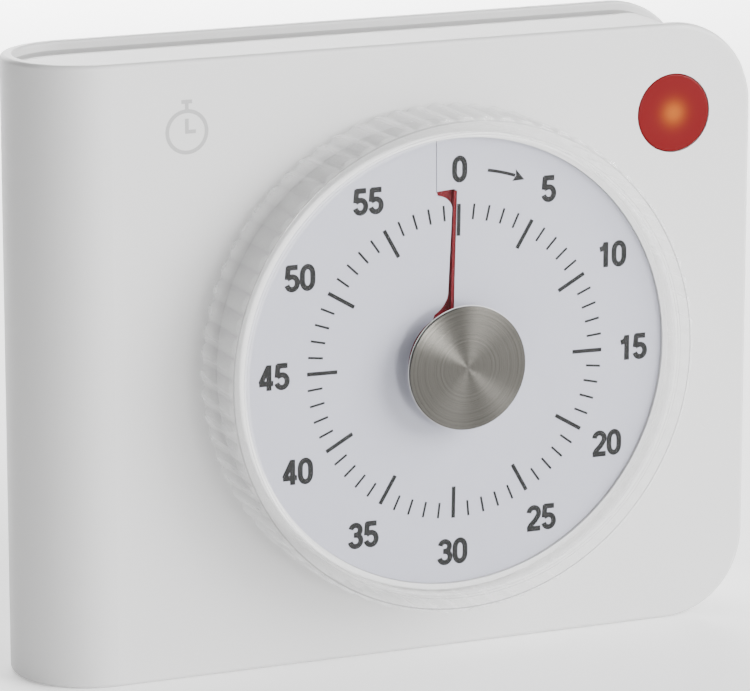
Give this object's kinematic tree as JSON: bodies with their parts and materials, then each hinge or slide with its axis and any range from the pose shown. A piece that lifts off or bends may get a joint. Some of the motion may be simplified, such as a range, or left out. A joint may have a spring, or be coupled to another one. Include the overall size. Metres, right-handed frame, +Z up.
{
  "type": "lab timer",
  "caption": "Free-standing visual countdown timer with a large fluted clear dial, printed minute scale, emerging red sheet, steel centre cap and red signal lamp.",
  "frame": {"origin": "under the middle of the object, on the surface that it stands on", "axes": "+Z up, -Y towards the dial's viewer, +X to the viewer's right, along the width"},
  "size_m": [0.125, 0.0396, 0.101],
  "materials": {
    "housing_white": "fine satin moulding",
    "frame_white": "fine satin moulding",
    "base_white": "gloss moulding",
    "dial_white": "printed sheet",
    "red_sheet": "thin red sheet",
    "clear_plastic": "clear acrylic",
    "turned_steel": "turned in circles",
    "red_lens": "smooth red lens",
    "lamp_epoxy": "cast epoxy",
    "bright_steel": "ground",
    "gear_acetal": "moulded acetal",
    "rotor_dark": "sintered magnet",
    "stator_steel": "stamped sheet",
    "coil_copper": "enamelled wire",
    "movement_plastic": "moulded",
    "zinc_steel": "zinc plated",
    "board_green": "solder mask",
    "buzzer_black": "moulded",
    "switch_black": "moulded",
    "slider_grey": "moulded",
    "contact_nickel": "nickel plated",
    "cell_sleeve": "printed sleeve"
  },
  "bodies": {
    "housing": {"wrap_shell": "housing_white", "core_frame": "frame_white", "housing_screws": "zinc_steel", "signal_lens": "red_lens", "signal_led": "lamp_epoxy", "dial_base": "base_white", "dial_plate": "dial_white", "base_screws": "zinc_steel", "reduction_axle": "bright_steel", "motor_stator": "stator_steel", "motor_coil": "coil_copper", "movement_case": "movement_plastic", "movement_lid": "movement_plastic", "circuit_board": "board_green", "board_screws": "zinc_steel", "buzzer": "buzzer_black", "volume_switch": "switch_black", "duration_switch": "switch_black", "battery_tray": "frame_white", "battery_plates": "contact_nickel", "battery_cells": "cell_sleeve", "battery_springs": "contact_nickel"},
    "dial": {"clear_cover": "clear_plastic", "cap_seat": "base_white", "steel_cap": "turned_steel", "dial_hub": "base_white", "spindle": "bright_steel", "clutch_washer": "bright_steel", "main_gear": "gear_acetal"},
    "leaf_1": {"red_leaf_1": "red_sheet"},
    "leaf_2": {"red_leaf_2": "red_sheet"},
    "leaf_3": {"red_leaf_3": "red_sheet"},
    "reduction": {"reduction_gear": "gear_acetal"},
    "rotor": {"motor_rotor": "rotor_dark"},
    "volume": {"volume_slider": "slider_grey"},
    "duration": {"duration_slider": "slider_grey"},
    "battery_door": {"battery_cover": "housing_white"}
  },
  "joints": [
    {"name": "dial_turn", "type": "hinge", "parent": "housing", "child": "dial", "pos_m": [0.0055, -0.0062, 0.05035], "axis": [0, 1, 0], "range_deg": [0, 360]},
    {"name": "leaf_1_turn", "type": "hinge", "parent": "housing", "child": "leaf_1", "pos_m": [0.0055, -0.0062, 0.05035], "axis": [0, 1, 0], "range_deg": [0, 120]},
    {"name": "leaf_2_turn", "type": "hinge", "parent": "leaf_1", "child": "leaf_2", "pos_m": [0.0055, -0.0062, 0.05035], "axis": [0, 1, 0], "range_deg": [0, 120]},
    {"name": "leaf_3_turn", "type": "hinge", "parent": "leaf_2", "child": "leaf_3", "pos_m": [0.0055, -0.0062, 0.05035], "axis": [0, 1, 0], "range_deg": [0, 120]},
    {"name": "reduction_turn", "type": "hinge", "parent": "housing", "child": "reduction", "pos_m": [0.0055, -0.0062, 0.03235], "axis": [0, 1, 0], "range_deg": [-1440, 0]},
    {"name": "rotor_turn", "type": "hinge", "parent": "housing", "child": "rotor", "pos_m": [0.0145, -0.0062, 0.02035], "axis": [0, 1, 0], "range_deg": [0, 5760]},
    {"name": "volume_slide", "type": "slide", "parent": "housing", "child": "volume", "axis": [1, 0, 0], "range_m": [-0.003, 0.003]},
    {"name": "duration_slide", "type": "slide", "parent": "housing", "child": "duration", "axis": [1, 0, 0], "range_m": [-0.002, 0.002]},
    {"name": "battery_cover_pull", "type": "slide", "parent": "housing", "child": "battery_door", "axis": [0, 1, 0], "range_m": [0, 0.02]}
  ],
  "couplings": [
    {"joint": "leaf_1_turn", "follows": "dial_turn", "ratio": 0.33333},
    {"joint": "leaf_2_turn", "follows": "dial_turn", "ratio": 0.33333},
    {"joint": "leaf_3_turn", "follows": "dial_turn", "ratio": 0.33333},
    {"joint": "reduction_turn", "follows": "dial_turn", "ratio": -4},
    {"joint": "rotor_turn", "follows": "dial_turn", "ratio": 16}
  ]
}
